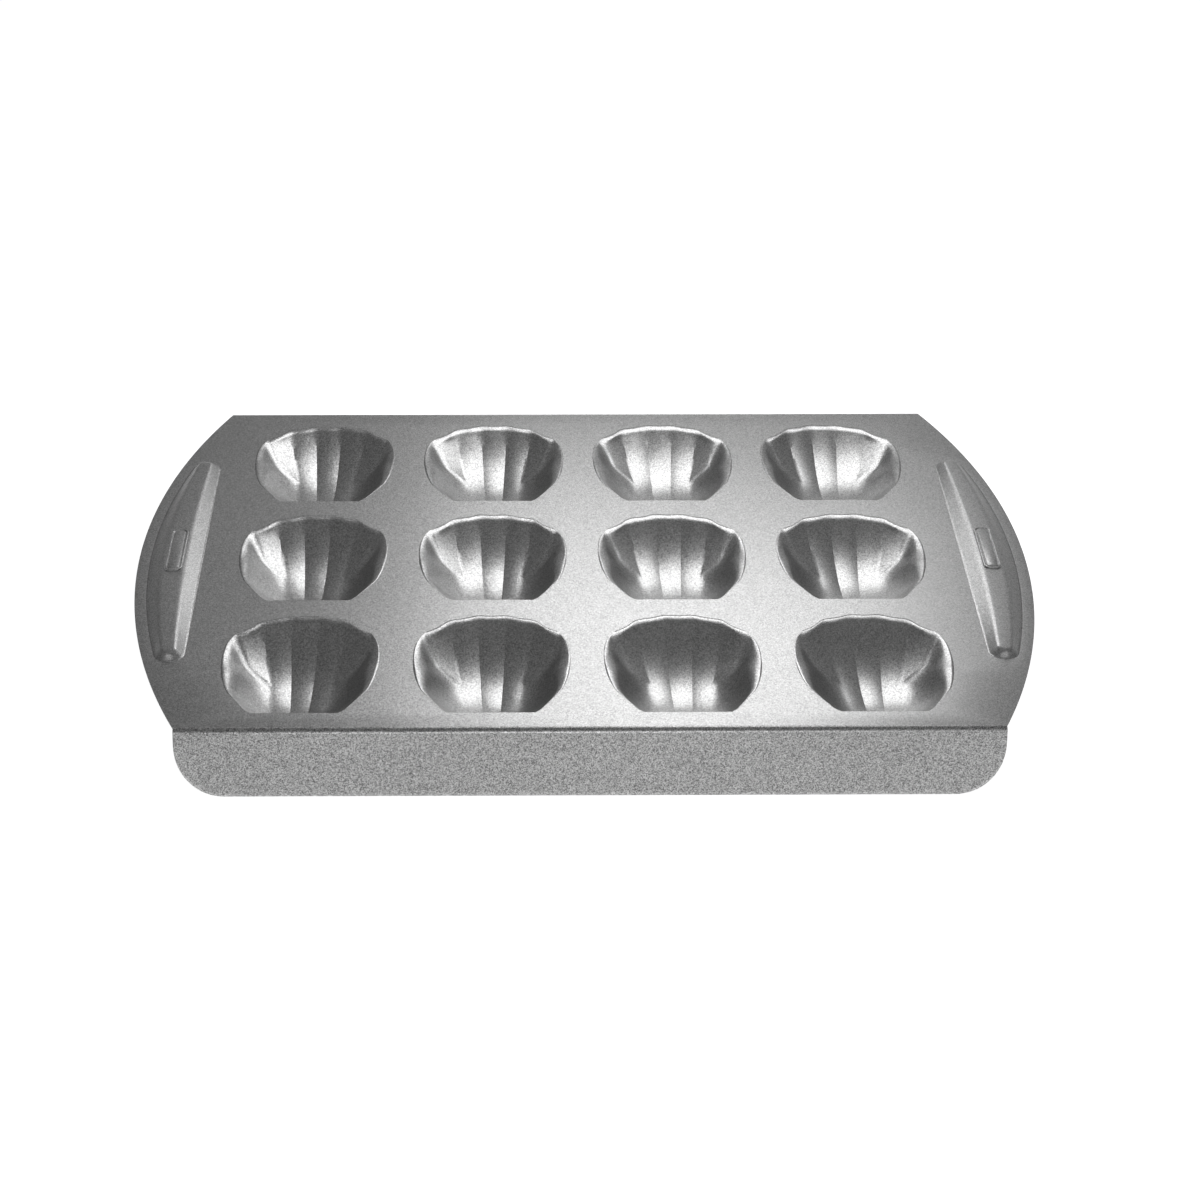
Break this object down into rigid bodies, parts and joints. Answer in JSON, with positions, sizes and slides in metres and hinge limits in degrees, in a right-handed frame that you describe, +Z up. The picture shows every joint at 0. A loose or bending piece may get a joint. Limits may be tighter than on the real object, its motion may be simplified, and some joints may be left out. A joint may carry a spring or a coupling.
{
  "type": "madeleine pan",
  "caption": "Shallow baking pan with scallop-shell cups pressed into a flat deck, folded skirts along the front and back, and a raised grip ridge in each rounded end.",
  "frame": {"origin": "under the middle of the pan, on the surface that the two skirts stand on", "axes": "+X along the length of the pan, from the left grip end to the right one; +Y from the front skirt to the rear skirt, towards the fan side of the cups; +Z up"},
  "size_m": [0.3994, 0.2774, 0.031],
  "materials": {
    "coated_steel": "satin silver-grey non-stick coating with fine metallic flake on pressed steel sheet"
  },
  "bodies": {
    "root": {"deck_sheet": "coated_steel", "front_skirt": "coated_steel", "rear_skirt": "coated_steel", "left_grip_ridge": "coated_steel", "right_grip_ridge": "coated_steel", "left_badge_plate": "coated_steel", "right_badge_plate": "coated_steel", "shell_cup_r1c1": "coated_steel", "shell_cup_r1c2": "coated_steel", "shell_cup_r1c3": "coated_steel", "shell_cup_r1c4": "coated_steel", "shell_cup_r2c1": "coated_steel", "shell_cup_r2c2": "coated_steel", "shell_cup_r2c3": "coated_steel", "shell_cup_r2c4": "coated_steel", "shell_cup_r3c1": "coated_steel", "shell_cup_r3c2": "coated_steel", "shell_cup_r3c3": "coated_steel", "shell_cup_r3c4": "coated_steel"}
  },
  "joints": []
}
